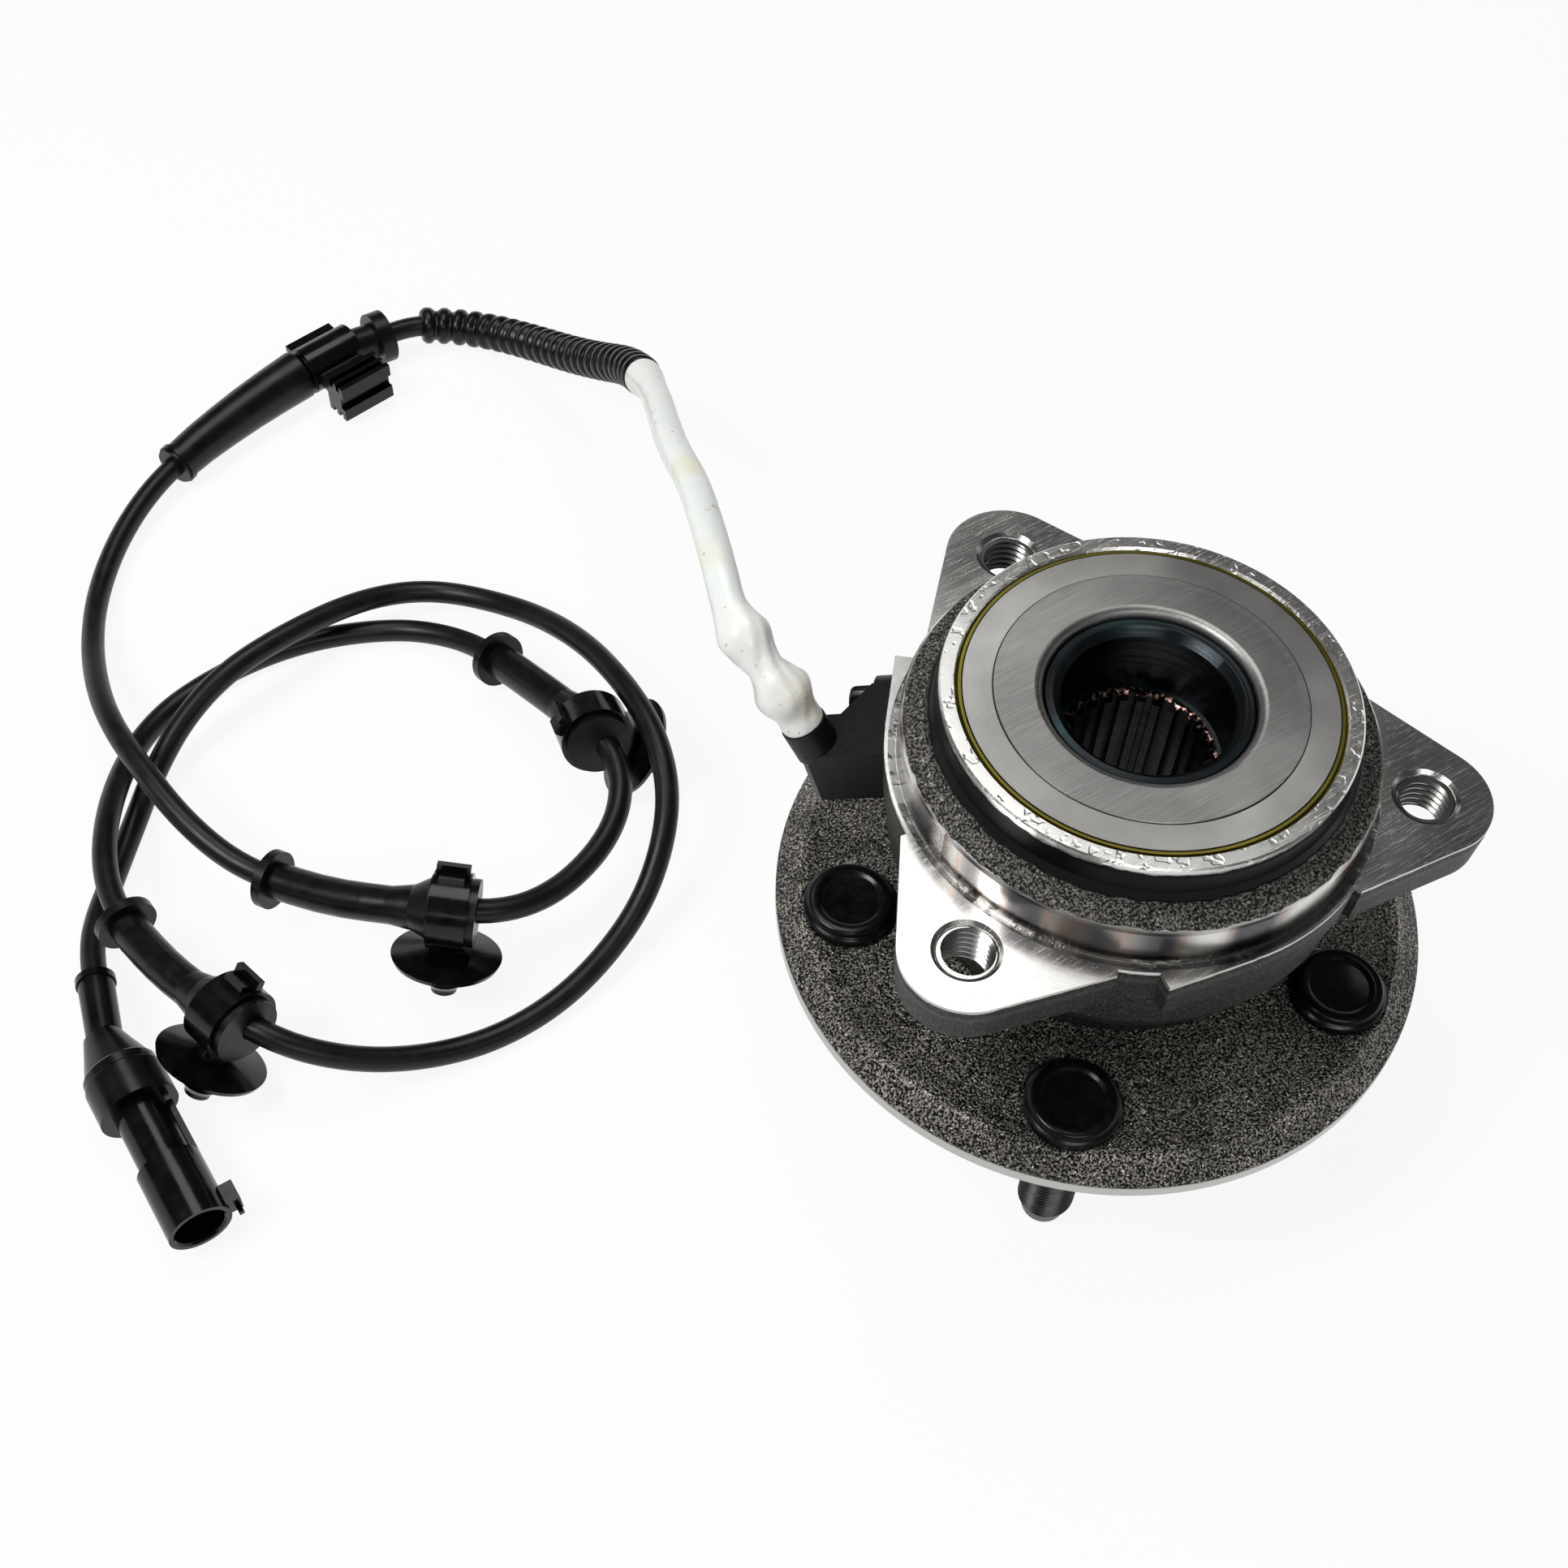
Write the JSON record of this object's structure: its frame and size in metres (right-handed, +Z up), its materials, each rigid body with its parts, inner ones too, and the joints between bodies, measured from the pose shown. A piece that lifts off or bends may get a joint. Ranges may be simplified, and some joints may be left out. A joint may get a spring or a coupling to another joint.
{
  "type": "wheel hub bearing",
  "caption": "Driven wheel hub bearing with a studded wheel flange, a three-lobed knuckle flange, two tapered roller rows, a splined bore and a wheel speed sensor with its clipped cable.",
  "frame": {"origin": "On the spin axis, in the plane of the face that the wheel or brake disc bears on.", "axes": "+Z runs up the spin axis from the wheel towards the knuckle; the sensor connector at the end of the cable points along -Y."},
  "size_m": [0.2866, 0.3717, 0.1173],
  "materials": {
    "housing_steel": "turned and forged",
    "hub_steel": "rough forged",
    "black_steel": "black phosphate",
    "tone_ring_steel": "satin",
    "ring_steel": "ground",
    "roller_steel": "polished",
    "cage_steel": "pressed",
    "seal_steel": "olive coated",
    "flinger_steel": "satin",
    "seal_rubber": "matte",
    "sensor_plastic": "moulded",
    "screw_steel": "dark zinc",
    "cable_rubber": "satin",
    "white_sleeve": "satin",
    "conduit_plastic": "satin",
    "grommet_rubber": "satin",
    "clip_plastic": "moulded",
    "connector_plastic": "moulded",
    "terminal_brass": "tinned"
  },
  "bodies": {
    "housing": {"bearing_housing": "housing_steel", "inboard_seal_case": "seal_steel", "inboard_seal_lip": "seal_rubber", "outboard_seal_case": "seal_steel", "outboard_seal_lip": "seal_rubber", "sensor_body": "sensor_plastic", "sensor_probe": "sensor_plastic", "sensor_o_ring": "seal_rubber", "sensor_screw": "screw_steel", "sensor_cable": "cable_rubber", "heat_sleeve": "white_sleeve", "conduit": "conduit_plastic", "grommet_1": "grommet_rubber", "grommet_2": "grommet_rubber", "grommet_3": "grommet_rubber", "grommet_4": "grommet_rubber", "clip_1": "clip_plastic", "clip_2": "clip_plastic", "clip_3": "clip_plastic", "clip_4": "clip_plastic", "connector_boot": "grommet_rubber", "connector_shell": "connector_plastic", "connector_pins": "terminal_brass"},
    "hub": {"hub": "hub_steel", "wheel_studs": "black_steel", "inboard_cone": "ring_steel", "outboard_cone": "ring_steel", "inboard_seal_flinger": "flinger_steel", "outboard_seal_flinger": "flinger_steel", "tone_ring": "tone_ring_steel"},
    "inboard_roller_set": {"inboard_rollers": "roller_steel", "inboard_cage": "cage_steel"},
    "outboard_roller_set": {"outboard_rollers": "roller_steel", "outboard_cage": "cage_steel"}
  },
  "joints": [
    {"name": "hub_spin", "type": "hinge", "parent": "housing", "child": "hub", "pos_m": [0, 0, 0.047], "axis": [0, 0, 1], "continuous": true},
    {"name": "inboard_rollers_spin", "type": "hinge", "parent": "housing", "child": "inboard_roller_set", "pos_m": [0, 0, 0.064], "axis": [0, 0, 1], "continuous": true},
    {"name": "outboard_rollers_spin", "type": "hinge", "parent": "housing", "child": "outboard_roller_set", "pos_m": [0, 0, 0.03], "axis": [0, 0, 1], "continuous": true}
  ],
  "couplings": [
    {"joint": "inboard_rollers_spin", "follows": "hub_spin", "ratio": 0.43},
    {"joint": "outboard_rollers_spin", "follows": "hub_spin", "ratio": 0.43}
  ]
}
